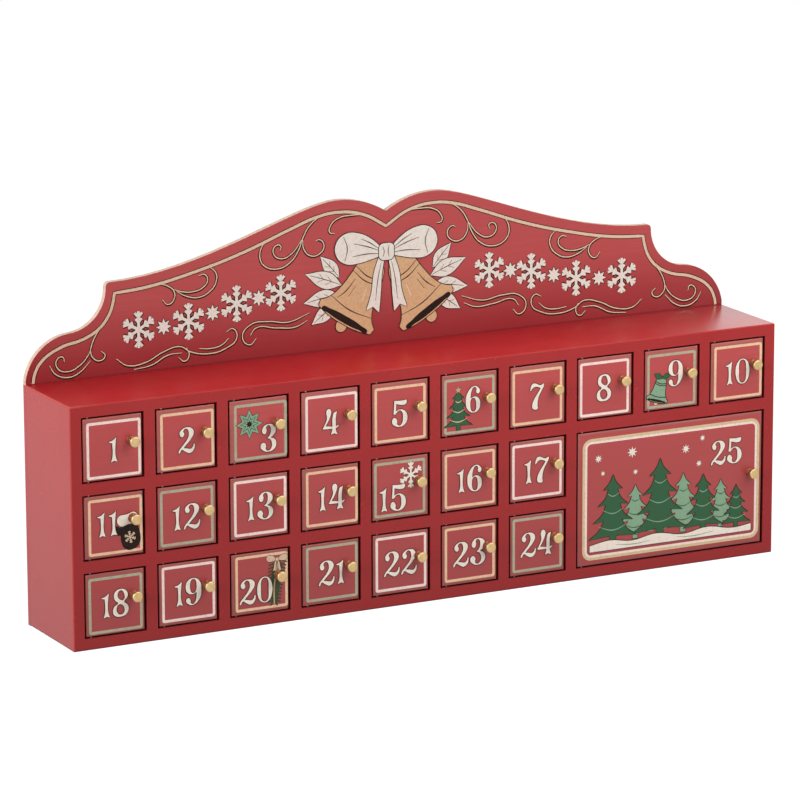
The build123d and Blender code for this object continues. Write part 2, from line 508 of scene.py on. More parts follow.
# Header line print. Screened on the front of the back board: a gold rule that follows the outline,
# and cream scrolls with a dark edge. Each ink lies on the one before it, a few hundredths thick.
# A fine dark line runs along the foot, where the board meets the top of the box.
film = 0.03 * mm
gold_half_width = 1.15
gold_edge = 0.6
scroll_half_width = 0.42
scroll_edge = 0.84
shadow_shift = (0, -0.3)
foot_half_width = 0.4
foot_line = [[(1, 185.0, 1), (598, 185.0, 1)]]
gold_rule = [
    (6, 185.2), (7.0, 190.5), (12.1, 200), (28, 209.8), (47, 214.4), (59, 220.4), (67.1, 229),
    (71.6, 240), (72.8, 246.7, 1), (100, 248.8), (140, 256.6), (180, 267.5), (220, 281.7),
    (240, 288.2), (258, 290.5), (280, 286.9),
]
gold_notch = (back_length / 2, 276.2, 1)
scrolls = [
    # At the end of the header
    [(62.5, 223), (57.7, 217.3), (53.7, 209.5), (52.8, 203.4), (54.6, 199.5), (60.2, 196.7),
     (64.4, 200.2), (61.2, 203.9)],
    [(52.6, 205.4), (50.2, 201.1), (42.7, 194.2), (33.4, 191.2), (25.9, 194.5), (25.2, 200.7),
     (30, 202.8), (31.5, 198.7)],
    [(19.5, 197), (24, 190.4), (34, 186.8), (43.4, 189.5), (52.4, 197.6)],
    # Below the shoulder
    [(107, 250.6), (116.5, 247.7), (121.5, 243), (121.5, 237.7), (116.5, 233.7), (111.7, 237.7)],
    [(121.5, 244.6), (127, 242.5), (137, 241.4), (145.5, 244), (149.2, 249.5), (146.5, 253.7),
     (141.7, 253)],
    [(123.5, 243), (131, 238.7), (141.5, 236.6), (150.5, 240), (156, 246.5), (156.2, 253.5),
     (150.5, 259.4)],
    # On the slope
    [(198.5, 275), (193.5, 268), (193, 260.5), (196.7, 255), (206.7, 251.8), (217.5, 255.4),
     (225, 264.2), (229.2, 274.2), (235, 282.9), (245, 289.8)],
    [(227.5, 271.7), (220, 262.9), (210.8, 259.3), (204.2, 263.7), (205.4, 269.3), (210.2, 269.2),
     (209.6, 265.2)],
    [(228.7, 272), (229.6, 265), (235, 259.3), (242.9, 260), (246.7, 266.2), (242.5, 271),
     (239.6, 270)],
    # Under the crest
    [(284, 286.4), (270, 287.2), (259.2, 286), (252.5, 281.2), (251.5, 275.8), (255.8, 274.3)],
    # Along the foot
    [(73.7, 196.4), (82.2, 190.7), (97.2, 191.4), (112.2, 198), (126, 200.5), (134.1, 195.7),
     (148.5, 192.6), (163.5, 195.1), (172.9, 202.6), (169.7, 209.7), (164.1, 207.6)],
    [(131, 198.9), (133.2, 193.5), (129.7, 188.9), (124.5, 192.2)],
    [(87.9, 187), (102.2, 188.9), (116, 195.1), (127.2, 195.5)],
    [(141.6, 197.2), (151, 196.4), (160, 198), (166.2, 202.6)],
    [(189.1, 200.1), (183.5, 195.7), (177.5, 202.6), (184.1, 211), (198.5, 212.2), (216, 209.9),
     (234.1, 215.1)],
    [(184.1, 202.6), (188.5, 208), (206, 206.4), (222.2, 205.5), (232.2, 209.5)],
]


def ink(name, colour, thin_colour):
    """Screen ink: a matt film, a little thinner in places, so that the red below tints it."""
    material, shader, place = start_material(name)
    thin = noise(material, place, scale=480.0, detail=5.0)
    grain = noise(material, place, scale=1100.0, detail=2.0)
    feed(material, shader, {
        "Base Color": blend(material, thin, (0.30, thin_colour), (0.55, colour)),
        "Roughness": between(material, thin, 0.42, 0.58),
        "Specular IOR Level": 0.15,
        "Normal": bump(material, grain, strength=0.08, depth=0.03 * mm),
    })
    return material


gold_ink = ink("gold_ink", srgb(213, 186, 161), srgb(203, 172, 147))
cream_ink = ink("cream_ink", srgb(221, 192, 164), srgb(208, 174, 146))
dark_ink = ink("dark_ink", srgb(26, 12, 7), srgb(42, 20, 13))


def line(spot, lines, half_width, layer, colour, closed=False, taper=1.0):
    """Ink lines on an upright face, each thinning at its ends by the taper.
    The spot is the level of the face, and the place across and up that the points count from."""
    face, x, z = spot
    curve = draw(lines, closed, fineness=6)
    curve.dimensions = "3D"
    curve.fill_mode = "FULL"
    curve.bevel_depth = half_width * mm
    curve.bevel_resolution = 2
    curve.use_fill_caps = not closed
    for spline in curve.splines:
        for knot in (spline.bezier_points[0], spline.bezier_points[-1]):
            knot.radius = taper
    piece = stand_up(x, face - layer * film, z, 0.5 * film / (half_width * mm))
    bpy.ops.object.shade_flat()
    piece.data.materials.append(colour)
    return piece


def fill(spot, outlines, layer, colour, fineness=6):
    """A flat patch of ink on an upright face; an outline inside another is a gap in it."""
    face, x, z = spot
    curve = draw(outlines, closed=True, fineness=fineness)
    curve.dimensions = "2D"
    curve.fill_mode = "BOTH"
    curve.extrude = (layer + 1) * film / 2
    piece = stand_up(x, face - layer * film / 2, z)
    piece.data.materials.append(colour)
    return piece


def edged(spot, outlines, layer, colour, edge=0.65):
    """A patch of ink over a dark line that shows as a thin edge round it."""
    return [
        line(spot, outlines, edge, layer, dark_ink, closed=True),
        fill(spot, outlines, layer + 1, colour),
    ]


def placed(points, x, z, angle=0, size=1.0):
    """Points scaled and turned about their own zero, then moved to a place."""
    level, upright = size * cos(radians(angle)), size * sin(radians(angle))
    return [
        (x + a * level - b * upright, z + a * upright + b * level, *sharp) for a, b, *sharp in points
    ]


rule = [gold_rule + [gold_notch] + mirrored(gold_rule)]
all_scrolls = scrolls + [mirrored(points) for points in scrolls]
shadows = [placed(points, *shadow_shift) for points in all_scrolls]
header_end = (back_low.y, back_low.x, 0)
header_print = join([
    line(header_end, shadows, scroll_half_width + scroll_edge, 0, dark_ink, taper=0.5),
    line(header_end, all_scrolls, scroll_half_width, 1, cream_ink, taper=0.6),
    line(header_end, rule, gold_half_width + gold_edge, 0, dark_ink),
    line(header_end, rule, gold_half_width, 1, gold_ink),
    line(header_end, foot_line, foot_half_width, 0, inner_shade_paint),
], "header_line_print")
fit(header_print, "carcass", "header_paint")

# Header ornaments. Two bells under a bow with leaves behind them, and a row of snow crystals and stars
# on each side, screened in white and tan with dark edges. Shapes are in mm from the header's middle.
def whole(half):
    """A closed outline from its right half; points off the middle come back mirrored on the left."""
    return half + [(-a, b, *sharp) for a, b, *sharp in reversed(half) if a]


# A bell, from its own crown
bell = whole([
    (0, 2), (7.5, -0.5), (12, -7.5), (13.8, -19), (16.5, -32), (21.5, -42), (26.5, -46.5, 1),
    (25.5, -51, 1), (14, -53.6), (0, -54.4),
])
bell_mouth = whole([(0, -47.9), (15, -48.7), (22.5, -50.9), (15, -52.6), (0, -53.5)])
bell_clapper = whole([(0, -51.5), (4.6, -56.5), (0, -61)])
bell_bands = [
    [(-12.8, -11), (0, -13.4), (12.8, -11)],
    [(-13.6, -15), (0, -17.4), (13.6, -15)],
    [(-20.6, -39.8), (0, -42.6), (20.6, -39.8)],
]
bell_shine = [[(-7.2, -4), (-9.2, -20), (-12.6, -34)], [(-4.2, -22), (-5.6, -32)]]
bell_shade = [[(8.6, -20), (10.6, -31), (14.6, -39)], [(5.4, -24), (6.6, -34)]]
bell_tilt = 32
bell_crown = (9, 250)
bow_loop = [
    (3, 258.5, 1), (11, 266), (23, 272.5), (35.5, 273), (43, 266), (42.5, 256.5), (35, 250),
    (23, 249.5), (11, 252), (3, 254, 1),
]
bow_folds = [
    [(6, 257.6), (16, 261.6), (28, 265)], [(6, 255.4), (17, 256), (29, 255)],
    [(36.6, 271.2), (33.4, 262), (35.6, 252)], [(7, 259.6), (14, 264.4), (22, 268.4)],
]
bow_tail = [
    (1.5, 253, 1), (6.5, 253, 1), (11, 240), (13, 226), (17.5, 212, 1), (11.5, 214.5, 1),
    (6.5, 209.5, 1), (5, 224), (4, 238),
]
tail_folds = [[(4.4, 249), (7.6, 234), (9.4, 219)]]
bow_knot = whole([(0, 249.8), (5.6, 251.5), (6.4, 256.5), (5.6, 261.5), (0, 263)])
knot_folds = [[(-3, 260.5), (-2, 256.5), (-3, 252.5)], [(2.2, 261), (1.4, 256.5), (2.2, 252)]]
# Leaves behind the bells: root, angle, length and half width
leaf_sprays = [
    (40, 240, 48, 24, 5.4), (38, 234, 20, 33, 6.4), (40, 227, -8, 31, 6.4), (44, 219, -34, 24, 5.6),
]
vein_half_width = 0.32
# Crystals and stars, in mm from the left end
crystal_places = [(92, 217), (133, 219), (173, 228.5), (210, 233)]
crystal_radius = 14
crystal_half_width = 1.15
crystal_edge = 0.95
star_places = [(112.5, 217), (153, 223.5), (191.5, 231)]
star_radius = 6.5
star_inner_radius = 3.38
star_edge = 0.9
white_ink = ink("white_ink", srgb(222, 215, 204), srgb(212, 200, 189))
tan_ink = ink("tan_ink", srgb(203, 165, 125), srgb(194, 152, 114))


def both_sides(lines):
    """Lines and their mirror images about the upright line through zero."""
    return lines + [[(-a, b, *sharp) for a, b, *sharp in points] for points in lines]


def leaf(x, z, angle, length, half_width):
    """A pointed leaf that starts at a place and lies at an angle."""
    shape = [(0, 0, 1), (length * 0.4, half_width), (length, 0, 1), (length * 0.4, -half_width)]
    return placed(shape, x, z, angle)


def veins(x, z, angle, length, half_width):
    """The rib of a leaf and two veins on each side of it."""
    lines = [[(length * 0.04, 0), (length * 0.5, half_width * 0.06), (length * 0.88, 0)]]
    for start, side in ((0.28, 1), (0.5, 1), (0.28, -1), (0.5, -1)):
        lines.append([(length * start, 0), (length * (start + 0.14), side * half_width * 0.52)])
    return [placed(points, x, z, angle) for points in lines]


def star(x, z, tips, outer, inner):
    """A star with straight sides."""
    points = []
    for corner in range(2 * tips):
        reach = inner if corner % 2 else outer
        turn = pi * corner / tips
        points.append((x + reach * sin(turn), z + reach * cos(turn), 1))
    return points


def crystal(x, z, radius):
    """The six arms of a snow crystal, each with two pairs of twigs."""
    parts = [[(0, 0, 1), (0, 1, 1)]]
    for reach, root in ((0.92, 0.66), (0.6, 0.38)):
        spread = 0.8 * (reach - root)
        parts.append([(-spread, reach, 1), (0, root, 1), (spread, reach, 1)])
    return [placed(part, x, z, 60 * arm, radius) for arm in range(6) for part in parts]


def bell_parts(shapes):
    """The shapes of one bell, tilted in their place, and those of the other."""
    return both_sides([placed(shape, *bell_crown, bell_tilt) for shape in shapes])


crystals = []
for x, z in crystal_places:
    crystals += crystal(x, z, crystal_radius) + crystal(back_length - x, z, crystal_radius)
stars = []
for x, z in star_places:
    stars += [star(place, z, 8, star_radius, star_inner_radius) for place in (x, back_length - x)]
ornaments = edged(header_end, stars, 0, white_ink, star_edge) + [
    line(header_end, crystals, crystal_half_width + crystal_edge, 0, dark_ink),
    line(header_end, crystals, crystal_half_width, 1, white_ink),
]
header_middle = (back_low.y, 0, 0)
for order, spray in enumerate(leaf_sprays):
    layer = 3 * order
    ornaments += edged(header_middle, both_sides([leaf(*spray)]), layer, white_ink)
    ribs = both_sides(veins(*spray))
    ornaments.append(line(header_middle, ribs, vein_half_width, layer + 2, dark_ink, taper=0.5))
for shapes, layer, colour in (
    (bell_parts([bell_clapper]), 12, tan_ink),
    (bell_parts([bell]), 14, tan_ink),
    (both_sides([bow_tail]), 17, white_ink),
    (both_sides([bow_loop]), 20, white_ink),
    ([bow_knot], 23, white_ink),
):
    ornaments += edged(header_middle, shapes, layer, colour)
ornaments.append(fill(header_middle, bell_parts([bell_mouth]), 16, dark_ink))
for lines, half_width, layer, colour in (
    (bell_parts(bell_bands), 0.45, 16, dark_ink),
    (bell_parts(bell_shine), 0.9, 16, cream_ink),
    (bell_parts(bell_shade), 0.45, 16, dark_ink),
    (both_sides(tail_folds), 0.35, 19, dark_ink),
    (both_sides(bow_folds), 0.4, 22, dark_ink),
    (knot_folds, 0.35, 25, dark_ink),
):
    ornaments.append(line(header_middle, lines, half_width, layer, colour, taper=0.4))
header_ornaments = join(ornaments, "header_ornament_print")
fit(header_ornaments, "carcass", "header_paint")

# Hinge pins. Straight bits of bare steel wire, driven into the boards above and below each door.
# One wire runs through a shelf where a door stands above another.
steel, shader, place = start_material("bare_steel_wire")
drawn = node(steel, "ShaderNodeMapping", {"Vector": place, "Scale": (900.0, 900.0, 60.0)})
scores = noise(steel, drawn.outputs["Vector"], scale=1.0, detail=3.0)
feed(steel, shader, {
    "Base Color": blend(steel, scores, (0.3, srgb(226, 222, 214)), (0.7, srgb(246, 244, 238))),
    "Metallic": 1.0,
    "Roughness": between(steel, scores, 0.38, 0.55),
    "Normal": bump(steel, scores, strength=0.15, depth=0.02 * mm),
})
pins = frame["nodes"]["hinge_pins"]
pins.data.materials.clear()
pins.data.materials.append(steel)

# Door stops. A small block glued to the right wall of each compartment, just behind the door,
# so that a closed door rests against it. The blocks have the dark inside red, which is painted shade.
stop_size = Vector((4.0, 8.0, 20.0)) * mm
stop_ease = 0.5 * mm
free_gap = 1.7 * mm
foot_gap = 1.1 * mm
head_gap = 1.4 * mm


def opening_middle(number):
    """The middle of a door's opening, across and up."""
    low, high = door_boxes[number]
    return (low.x - hinge_gap + high.x + free_gap) / 2, (low.z - foot_gap + high.z + head_gap) / 2


blocks = []
stop_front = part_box("door_stops")[0].y
for number, (low, high) in door_boxes.items():
    foot = opening_middle(number)[1] - stop_size.z / 2
    corner = Vector((high.x + free_gap - stop_size.x, stop_front, foot))
    blocks.append(board("stop", corner, corner + stop_size, inner_shade_paint))
    ease_edges(blocks[-1], lambda first, second: True, stop_ease, segments=2)
stop_blocks = join(blocks, "door_stop_blocks")
smooth(stop_blocks)
fit(stop_blocks, "carcass", "box_paint", "door_stops")

# Doors. Squares of thin fibreboard set just behind the front of the box, hung on pins at their left.
# The front edges are rounded, and the rim is paler, partly rubbed and partly painted highlight where
# the round catches light. The face is printed red, and both reds grade darker towards the foot of the
# box.
# The back and the edges have the dark inside red, which is painted shade.
door_round = 0.9 * mm
small_rim = 3.4 * mm
large_rim = 1.9 * mm
pin_clear_radius = 0.65 * mm
pin_depth = 5.5 * mm
knob_hole_radius = 1.05 * mm
knob_hole_depth = 4.3 * mm
face_red = printed_red(
    "printed_red_door", srgb(182, 65, 65), srgb(188, 74, 73), srgb(158, 59, 59),
    foot=0, reach=box_high.z,
)
# The rim red is paler than the face: partly rubbed print, partly painted highlight on the round edge.
rim_red = printed_red(
    "red_door_rim_rubbed_and_painted_highlight", srgb(167, 76, 70), srgb(179, 96, 87), srgb(146, 69, 63),
    foot=0, reach=box_high.z,
)


def knob_seat(number):
    """Where a knob's axis meets the face of its door."""
    low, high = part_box(f"knob_{number:02d}")
    return Vector(((low.x + high.x) / 2, door_boxes[number][0].y, (low.z + high.z) / 2))


def door_leaf(number, rim):
    """A door: its rim marked off from the face, its front edges rounded, and its holes drilled."""
    low, high = door_boxes[number]
    piece = board(f"door_leaf_{number:02d}", low, high, inner_shade_paint, face_red, rim_red)
    pick(piece, "FACE", lambda face: face.normal.y < -0.9)
    bpy.ops.mesh.inset(thickness=rim)
    bpy.ops.object.mode_set(mode="OBJECT")

    def front_edge(first, second):
        """True for the four outer edges of the front face."""
        ends = [(axis, corner[axis]) for axis in (0, 2) for corner in (low, high)]
        shared = [abs(first[axis] - end) + abs(second[axis] - end) < touch for axis, end in ends]
        return max(first.y, second.y) < low.y + touch and any(shared)

    def within_rim(face):
        """True for the front face inside the rim."""
        inside = [low[i] + rim < face.center[i] < high[i] - rim for i in (0, 2)]
        return face.normal.y < -0.2 and all(inside)

    ease_edges(piece, front_edge, door_round, segments=4)
    paint_faces(piece, rim_red, lambda face: face.normal.y < -0.2)
    paint_faces(piece, face_red, within_rim)
    hinge = frame["joints"][number - 1]["pos_m"][:2]
    drill(piece, [hinge], pin_clear_radius, low.z, pin_depth)
    drill(piece, [hinge], pin_clear_radius, high.z, -pin_depth)
    make_active()
    bpy.ops.mesh.primitive_cylinder_add(
        vertices=24, radius=knob_hole_radius, depth=2 * knob_hole_depth, rotation=(pi / 2, 0, 0),
        location=knob_seat(number),
    )
    cut(piece, bpy.context.object)
    smooth(piece)
    return piece


def copy_of(piece, name, move):
    """A copy of a piece with its own mesh, set down away from the first."""
    make_active(piece)
    bpy.ops.object.duplicate()
    bpy.ops.transform.translate(value=move)
    bpy.ops.object.transform_apply(location=True, rotation=False, scale=False)
    copy = bpy.context.object
    copy.name = name
    return copy


doors = {1: door_leaf(1, small_rim)}
for number in range(2, 25):
    move = door_boxes[number][0] - door_boxes[1][0]
    doors[number] = copy_of(doors[1], f"door_leaf_{number:02d}", move)
doors[25] = door_leaf(25, large_rim)
for number, piece in doors.items():
    fit(piece, f"leaf_{number:02d}", "door_paint", f"door_{number:02d}")

# Door prints. Each door has a border line in white, tan or sage, a white numeral with a thin dark edge,
# and on some doors a small picture in a corner, all screened over the red.
border_width = 2.1
border_round = 1.9
border_inner_round = 0.4
# From the middle of the opening to the border's left, foot, right and top
border_reach = (-21.45, -22.1, 21.8, 20.4)
numeral_edge = 0.5
numeral_layer = 10
numeral_middle = (-0.5, -1.0)
gap_after_one = 2.4
gap_after_other = 1.2
figure_middle = 10
sage_ink = ink("sage_ink", srgb(179, 178, 152), srgb(172, 160, 136))
border_white_ink = ink("border_white_ink", srgb(250, 226, 217), srgb(242, 209, 200))
border_tan_ink = ink("border_tan_ink", srgb(240, 201, 166), srgb(231, 184, 150))
number_ink = ink("number_ink", srgb(246, 232, 218), srgb(238, 219, 206))
green_ink = ink("green_ink", srgb(52, 96, 66), srgb(64, 88, 60))
pale_green_ink = ink("pale_green_ink", srgb(136, 172, 142), srgb(140, 158, 128))
border_inks = {
    border_white_ink: (1, 4, 8, 13, 17, 19, 22),
    border_tan_ink: (2, 5, 7, 10, 11, 14, 16, 20, 23),
    sage_ink: (3, 6, 9, 12, 15, 18, 21, 24),
}
# How far the whole print sits to the right on some doors, and up in each row
print_right = {
    1: 0.6, 2: 0.6, 3: 1.4, 4: 1.0, 5: -0.3, 6: -0.3, 7: -0.6, 8: -0.8, 9: -0.3, 10: 0.7, 11: 0.9,
    12: -0.5, 13: 0.5, 14: 1.0, 15: -0.8, 17: -0.7, 20: 1.0, 21: 0.6, 24: -0.3,
}
print_up = {range(1, 11): -0.2, range(11, 18): 0.4, range(18, 19): -0.2, range(19, 25): 0.9}
# Where a numeral stands off the middle to leave room for a picture
numeral_off = {
    3: (6.3, -7.5), 6: (3.0, 2.7), 9: (3.7, 3.7), 11: (-6.6, 1.5), 15: (-6.2, -8.0), 20: (-4.7, -7.0),
}
# The ten figures, each in mm from its own left foot
figures = {
    "0": [
        [(0, 10), (6.35, 20), (12.7, 10), (6.35, 0)],
        [(3.2, 10), (6.35, 19.3), (9.5, 10), (6.35, 0.7)],
    ],
    "1": [[
        (0, 15.7, 1), (3.2, 16.6), (6.1, 18.8, 1), (5.6, 15), (5.5, 4), (6.8, 0.4, 1),
        (4.1, 1.2, 1), (1.5, 0.2, 1), (2.8, 4), (2.8, 14.6, 1), (0.9, 15, 1),
    ]],
    "2": [[
        (0.2, 0.3, 1), (0.3, 2), (3.4, 5.9), (7.5, 10.9), (8.6, 15.2), (6.5, 18.7), (4.1, 17),
        (4.9, 14.5), (3.2, 12.5), (1.1, 15), (2.6, 18), (7.1, 19.6), (11.5, 18.1), (12.6, 15),
        (10.3, 10.6), (5.7, 5.8), (4.2, 4.1, 1), (6.9, 3.7), (10.1, 3.2), (11.9, 4.8),
        (12.6, 7.1, 1), (13.4, 6.3, 1), (12.6, 2.4), (9.4, 0), (5.6, 1.4), (2.7, 3), (1.4, 0.9, 1),
    ]],
    "3": [[
        (5.6, 10.4, 1), (7.6, 12.2), (8.7, 16.4), (7.9, 19.6), (6.4, 20.2), (4.9, 18.9),
        (5.2, 16.2), (3.6, 13.6), (1.5, 15.6), (2.8, 19.3), (7, 21), (11.4, 19.4), (12.7, 16.4),
        (11.6, 13.2), (8.4, 10.6, 1), (11.8, 9), (13.1, 5.6), (11.4, 1.8), (7, 0), (2.2, 1.3),
        (0.1, 4.7), (2.4, 7.2), (4.6, 5.2), (4.4, 2), (6.6, 0.8), (8.8, 2.4), (9.5, 5.6),
        (8.2, 9.2),
    ]],
    "4": [[
        (0, 5.6, 1), (1.5, 8.1), (3.5, 12.9), (3.3, 18.9), (5, 20.3), (6.9, 18.9), (6, 13.6),
        (2.4, 7.2, 1), (8, 6.4, 1), (8.4, 14.2), (9.5, 16.9), (11.9, 17.8, 1), (11.2, 15),
        (10.9, 6.4, 1), (13.5, 7.4, 1), (12.6, 5.8), (10.9, 4.9, 1), (10.9, 3.8), (12.3, 0.2, 1),
        (9.4, 1.2, 1), (6.7, 0.3, 1), (7.8, 3.6), (8, 4.9, 1), (0.4, 5, 1),
    ]],
    "5": [[
        (2.2, 20.3, 1), (7.5, 19.9), (12.7, 20.2, 1), (12.2, 17.4), (10.2, 16.5), (3.7, 17.6, 1),
        (3.5, 12, 1), (7.2, 13.2), (11.4, 11.5), (13.3, 7), (11.6, 2), (7.1, -0.1), (2.2, 1.2),
        (0.2, 4), (2.2, 7.1), (4.6, 4.9), (4.6, 2), (6.7, 0.8), (8.7, 2.4), (9.4, 7), (8.6, 11.3),
        (6.6, 12.5), (3.9, 10.6), (3.3, 9.6, 1), (1.4, 9.8, 1), (1.9, 14.5),
    ]],
    "6": [
        [(0, 9.3), (1.6, 15.8), (7.3, 20.6), (11, 18.9), (12.1, 16), (10.4, 14.5), (8.9, 16),
         (9.2, 18.6), (7.2, 19.8), (4.9, 16.6), (4.1, 11.2, 1), (7.7, 12.4), (11.2, 10.6),
         (12.4, 6.1), (10.9, 1.8), (6.6, 0), (2, 2.3)],
        [(3.9, 6.4), (6.3, 11.5), (8.9, 6.2), (6.7, 0.8)],
    ],
    "7": [[
        (0.6, 14.8, 1), (0.8, 17.3), (2.9, 20.4), (5.4, 20.2), (9.2, 18.6), (12.2, 19.8, 1),
        (12.5, 18.5), (10, 13.8), (7.5, 8.5), (6.8, 3.1), (6.8, 0.4), (4.6, 0), (2.5, 1.2),
        (2.5, 4.6), (4.2, 8.5), (6.9, 12.3), (9.6, 16.2, 1), (8.1, 17.1), (4.6, 17.7), (2.3, 16.5),
        (1.2, 14.8, 1),
    ]],
    "8": [
        [(0, 4.6), (1.2, 1.3), (6.3, -0.1), (11, 1.6), (12.6, 5.4), (11.5, 8.8), (9.2, 11),
         (11.6, 14), (12.1, 16.5), (10, 20), (6.3, 20.9), (2.2, 19.3), (0.9, 15.4), (2.2, 12.2),
         (4.2, 10.4), (1.2, 8)],
        [(3.85, 16.2), (6.3, 19.9), (9.2, 16.9), (8.5, 12.4), (5, 13.6)],
        [(2.9, 5), (5.4, 9.4), (9.4, 4.8), (6.4, 1.4)],
    ],
    "9": [
        [(0, 13.8), (1.6, 18.6), (6.2, 20.5), (11, 18.2), (12.7, 12), (11.2, 4.2), (5.6, 0),
         (1.2, 1.6), (0.2, 3.9), (2.2, 5.6), (3.7, 3.9), (4.1, 1.6), (6.2, 0.8), (8.2, 3.6),
         (8.8, 9.6, 1), (5.4, 8.2), (1.4, 9.8)],
        [(3.5, 13.8), (6.2, 19.8), (8.9, 13.8), (6.2, 8.9)],
    ],
}


def numeral(spot, number, x, z, layer):
    """A white number about a place, with a thin dark edge."""
    outlines = []
    start = 0
    for figure in str(number):
        shapes = [placed(shape, start, 0) for shape in figures[figure]]
        outlines += shapes
        width = max(point[0] for point in shapes[0])
        start = width + (gap_after_one if figure == "1" else gap_after_other)
    middled = [placed(shape, x - width / 2, z - figure_middle) for shape in outlines]
    return edged(spot, middled, layer, number_ink, numeral_edge)


def round_rectangle(low_x, low_z, high_x, high_z, radius, steps=5):
    """A rectangle whose corners are arcs."""
    points = []
    corners = ((high_x, high_z, 0), (low_x, high_z, 90), (low_x, low_z, 180), (high_x, low_z, 270))
    for x, z, start in corners:
        middle_x = x + (radius if x == low_x else -radius)
        middle_z = z + (radius if z == low_z else -radius)
        for step in range(steps + 1):
            turn = radians(start + 90 * step / steps)
            points.append((middle_x + radius * cos(turn), middle_z + radius * sin(turn), 1))
    return points


def border(low_x, low_z, high_x, high_z, width, radius, inner_radius):
    """A border line: an outer rectangle and the gap inside it."""
    outer = (low_x, low_z, high_x, high_z)
    inner = (low_x + width, low_z + width, high_x - width, high_z - width)
    return [round_rectangle(*outer, radius), round_rectangle(*inner, inner_radius)]


# A fir tree, in shares of its height
fir_outline = whole([
    (0, 1, 1), (0.05, 0.89), (0.15, 0.79, 1), (0.07, 0.8, 1), (0.12, 0.67), (0.24, 0.56, 1),
    (0.11, 0.58, 1), (0.17, 0.44), (0.32, 0.32, 1), (0.14, 0.345, 1), (0.22, 0.21), (0.39, 0.09, 1),
    (0.05, 0.12, 1), (0.05, 0, 1),
])
fir_boughs = [
    [(-0.08, 0.73), (0, 0.69), (0.1, 0.73)],
    [(-0.16, 0.5), (0, 0.44), (0.17, 0.5)],
    [(-0.23, 0.27), (0, 0.2), (0.25, 0.27)],
]
bough_half_width = 0.42


def fir(spot, foot_x, foot_z, height, layer, colour, bough_colour):
    """A fir tree on a short trunk, with a line along each tier."""
    shapes = [fir_outline] + fir_boughs
    tree, *boughs = [placed(points, foot_x, foot_z, size=height) for points in shapes]
    return edged(spot, [tree], layer, colour) + [
        line(spot, boughs, bough_half_width, layer + 2, bough_colour, taper=0.4)
    ]


def star_picture(spot):
    """A pale green star with a smaller one drawn in it and a dark one in its middle."""
    large, drawn_star, heart = [
        [star(-9, 5, 8, outer, inner)] for outer, inner in ((11, 6.2), (7.4, 3.4), (3.2, 1.6))
    ]
    return edged(spot, large, 1, pale_green_ink) + [
        line(spot, drawn_star, 0.4, 3, dark_ink, closed=True),
        fill(spot, heart, 3, dark_ink),
    ]


def fir_picture(spot):
    """A dark green fir tree with a tan star on its tip."""
    tip_star = star(-9.5, 11.5, tips=5, outer=3, inner=1.3)
    tree = fir(spot, -9.5, -19.5, 31, 1, green_ink, cream_ink)
    return tree + edged(spot, [tip_star], 4, tan_ink, edge=0.3)


def bell_picture(spot):
    """A pale green bell under two leaves."""
    body, mouth, clapper, *bands = [
        placed(points, -8, 1.5, angle=-16, size=0.36)
        for points in [bell, bell_mouth, bell_clapper] + bell_bands
    ]
    leaves = [leaf(-8, 1, angle, length=8.5, half_width=2.2) for angle in (20, 150)]
    return (
        edged(spot, [clapper], 1, cream_ink, edge=0.35)
        + edged(spot, [body], 3, pale_green_ink)
        + [fill(spot, [mouth], 5, dark_ink), line(spot, bands, 0.35, 5, dark_ink)]
        + edged(spot, leaves, 5, green_ink, edge=0.3)
    )


def mitten_picture(spot):
    """A dark mitten with a white cuff and a crystal on its back."""
    upright_hand = [
        (7, 8, 1), (8.4, -2), (7, -9), (2, -12), (-4, -10.5), (-6.3, -4), (-6.2, 0.5), (-9.2, 1.6),
        (-12, 5), (-10.6, 8.2), (-7.4, 6.8), (-5.4, 5.2), (-4.8, 8, 1),
    ]
    upright_cuff = [(8.2, 7.6), (8.6, 14), (1.4, 14.6), (-6, 14), (-5.8, 7.6), (1.4, 7)]
    shapes = [upright_hand, upright_cuff] + crystal(0.8, -3, 4.6)
    hand, cuff, *pattern = [placed(points, 10.5, -8, angle=10) for points in shapes]
    return (
        edged(spot, [hand], 1, dark_ink)
        + [line(spot, pattern, 0.4, 3, cream_ink)]
        + edged(spot, [cuff], 3, number_ink, edge=0.5)
    )


def crystal_picture(spot):
    """A white snow crystal with a dark edge."""
    arms = crystal(9.5, 8.5, radius=10)
    return [line(spot, arms, 1.35, 1, dark_ink), line(spot, arms, 0.8, 2, number_ink)]


def sprig_picture(spot):
    """A hanging pine sprig tied with a cream ribbon, which is the header's bow made small."""
    stem = [(14.5, 17), (12.5, 6), (10.5, -6), (10.5, -19)]
    needles = []
    for step in range(13):
        root = (14 - 0.45 * step + 0.014 * step * step, 15.5 - 2.6 * step)
        length = 8 - 0.2 * step
        needles += [placed([(0, 0), (length, 0)], *root, angle) for angle in (196, 234, 296, 334)]
    parts = [
        line(spot, needles, 1.0, 1, dark_ink, taper=0.6),
        line(spot, needles, 0.66, 2, green_ink, taper=0.5),
        line(spot, [stem], 0.6, 3, tan_ink),
    ]
    small = 0.2
    bow_level = 256
    for shapes, layer in ((both_sides([bow_tail]), 4), (both_sides([bow_loop]), 6), ([bow_knot], 8)):
        tied = [placed(points, 13, 15 - bow_level * small, size=small) for points in shapes]
        parts += edged(spot, tied, layer, cream_ink, edge=0.35)
    return parts


